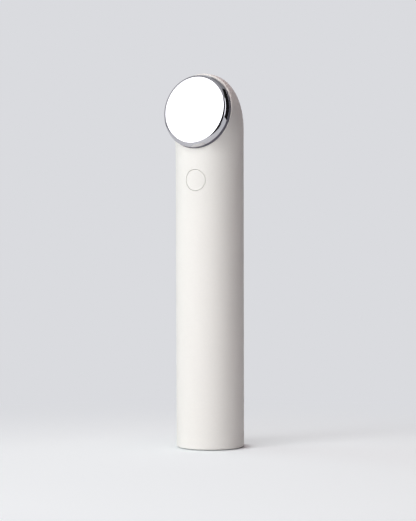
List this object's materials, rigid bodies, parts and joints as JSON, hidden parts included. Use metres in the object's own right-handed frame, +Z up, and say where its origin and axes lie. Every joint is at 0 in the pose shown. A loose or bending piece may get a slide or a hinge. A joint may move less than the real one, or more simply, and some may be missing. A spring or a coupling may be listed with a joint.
{
  "type": "ultrasonic skincare wand",
  "caption": "Upright round wand that bends forward into a short head with a flat polished metal face, with a flush push button on the front.",
  "frame": {"origin": "on the axis of the round tube, on the underside of the foot pad that the wand stands on", "axes": "+Z up along the tube, -Y is the front, where the metal face and the button are, +X to the right of someone looking at the front"},
  "size_m": [0.0318, 0.0345, 0.1654],
  "materials": {
    "shell_plastic": "fine matt, off-white",
    "button_plastic": "fine matt, off-white",
    "polished_cap": "mirror polish",
    "dark_seal": "matt, slate grey",
    "clear_silicone": "soft, half clear",
    "inner_plastic": "moulded, dark grey",
    "screw_steel": "zinc plated",
    "transducer_ceramic": "silvered faces",
    "board_green": "solder mask",
    "chip_black": "moulded epoxy",
    "ferrite": "sintered, dull",
    "copper_wire": "enamelled copper",
    "capacitor_sleeve": "shrunk sleeve",
    "socket_white": "moulded nylon",
    "cell_wrap": "shrunk sleeve",
    "nickel_strip": "nickel",
    "foam": "closed-cell foam",
    "lead_red": "PVC sleeve",
    "lead_black": "PVC sleeve",
    "inlet_steel": "drawn, plated",
    "pad_silicone": "matt, light grey"
  },
  "bodies": {
    "wand": {"housing": "shell_plastic", "head_cap": "polished_cap", "head_gasket": "dark_seal", "head_frame": "inner_plastic", "head_screws": "screw_steel", "piezo_disc": "transducer_ceramic", "piezo_locating_ring": "clear_silicone", "button_retainer": "inner_plastic", "switch_body": "chip_black", "switch_cover": "screw_steel", "main_board": "board_green", "board_screws": "screw_steel", "processor": "chip_black", "bulk_capacitor": "capacitor_sleeve", "transformer_core": "ferrite", "transformer_winding": "copper_wire", "power_transistors": "chip_black", "battery_socket": "socket_white", "piezo_socket": "socket_white", "chassis": "inner_plastic", "battery_cell": "cell_wrap", "battery_tabs": "nickel_strip", "battery_back_pads": "foam", "battery_front_pads": "foam", "base_cap": "shell_plastic", "base_seal_ring": "dark_seal", "base_screws": "screw_steel", "foot_pad": "pad_silicone", "charge_socket_shell": "inlet_steel", "charge_socket_tongue": "chip_black", "charge_board": "board_green", "charge_board_screws": "screw_steel", "charge_chip": "chip_black", "piezo_lead_live": "lead_red", "piezo_lead_return": "lead_black", "battery_lead_positive": "lead_red", "battery_lead_negative": "lead_black", "charge_lead_positive": "lead_red", "charge_lead_negative": "lead_black"},
    "button": {"power_button": "button_plastic", "button_seal_ring": "dark_seal"},
    "plunger": {"switch_plunger": "chip_black"}
  },
  "joints": [
    {"name": "button_press", "type": "slide", "parent": "wand", "child": "button", "axis": [0, 1, 0], "range_m": [0, 0.0003], "stiffness_N_per_m": 4000, "springref_m": -0.0001},
    {"name": "plunger_press", "type": "slide", "parent": "wand", "child": "plunger", "axis": [0, 1, 0], "range_m": [0, 0.0003]}
  ],
  "couplings": [
    {"joint": "plunger_press", "follows": "button_press", "ratio": 1}
  ]
}
